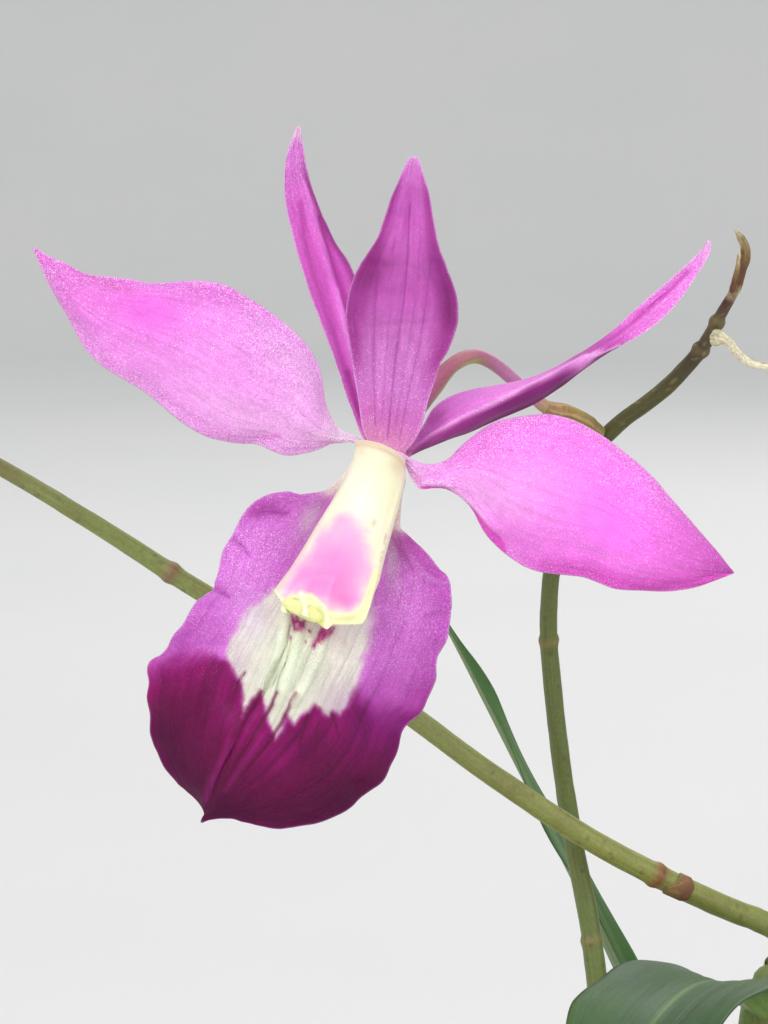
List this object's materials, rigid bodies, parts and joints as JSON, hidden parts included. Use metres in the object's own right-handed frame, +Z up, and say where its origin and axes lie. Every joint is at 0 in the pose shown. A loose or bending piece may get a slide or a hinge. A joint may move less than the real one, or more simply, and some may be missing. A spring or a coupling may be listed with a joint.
{
  "type": "potted barkeria orchid",
  "caption": "Reed-stemmed orchid in a plain round clay pot of bark: upright leafy canes, arching flower stems with buds, and an open pink-purple flower with a broad dark lip.",
  "frame": {"origin": "centre of the pot's flat underside, on the surface it stands on", "axes": "+Z up along the pot's axis; the open flower looks towards -Y; +X to the flower's right as seen from in front"},
  "size_m": [0.1827, 0.1152, 0.2919],
  "materials": {
    "clay": "unglazed fired clay, matt, slightly chalky",
    "bark": "broken bark chips, rough and dull",
    "cane": "green cane, grooved, satin, with papery grey-tan sheath remains",
    "husk": "dry papery tissue, dull, veined",
    "root": "spongy silvery white root skin, matt, green at the tip",
    "leaf": "fleshy green leaf, satin, with a sunk midrib",
    "stem": "thin green stem flushed purple-brown, satin",
    "petal": "soft translucent pink-magenta petal with a fine crystalline sparkle",
    "lip": "soft petal, lilac at the sides, white in the middle, dark magenta at the end, with dark veins",
    "column": "waxy cream flushed pink, with a pale yellow end",
    "bud": "smooth green-pink flower bud, satin"
  },
  "bodies": {
    "root": {"pot": "clay", "bark_mix": "bark", "rhizome": "cane", "cane_1": "cane", "cane_2": "cane", "cane_3": "cane", "cane_4": "cane", "new_shoot": "cane", "root_1": "root", "root_2": "root", "root_3": "root", "root_4": "root", "root_5": "root", "root_6": "root", "cane_1_leaf_1": "leaf", "cane_1_leaf_2": "leaf", "cane_1_leaf_3": "leaf", "cane_1_leaf_4": "leaf", "cane_2_leaf_1": "leaf", "cane_2_leaf_2": "leaf", "cane_2_leaf_3": "leaf", "cane_2_leaf_4": "leaf", "cane_2_leaf_5": "leaf", "cane_2_leaf_6": "leaf", "new_shoot_leaf_1": "leaf", "new_shoot_leaf_2": "leaf", "flower_stem": "stem", "bud_stem": "stem", "stem_sheath_1": "husk", "stem_sheath_2": "husk", "bud_stem_sheath_1": "husk", "bud_stem_sheath_2": "husk", "withered_tip_1": "husk", "withered_tip_2": "husk", "spent_flower_stalk": "husk", "bud_1": "bud", "bud_2": "bud", "bud_3": "bud", "bud_4": "bud", "left_petal": "petal", "right_petal": "petal", "dorsal_sepal": "petal", "left_lateral_sepal": "petal", "right_lateral_sepal": "petal", "lip": "lip", "column": "column", "anther_cap": "column", "ovary_stalk": "stem", "flower_bract": "husk"}
  },
  "joints": []
}
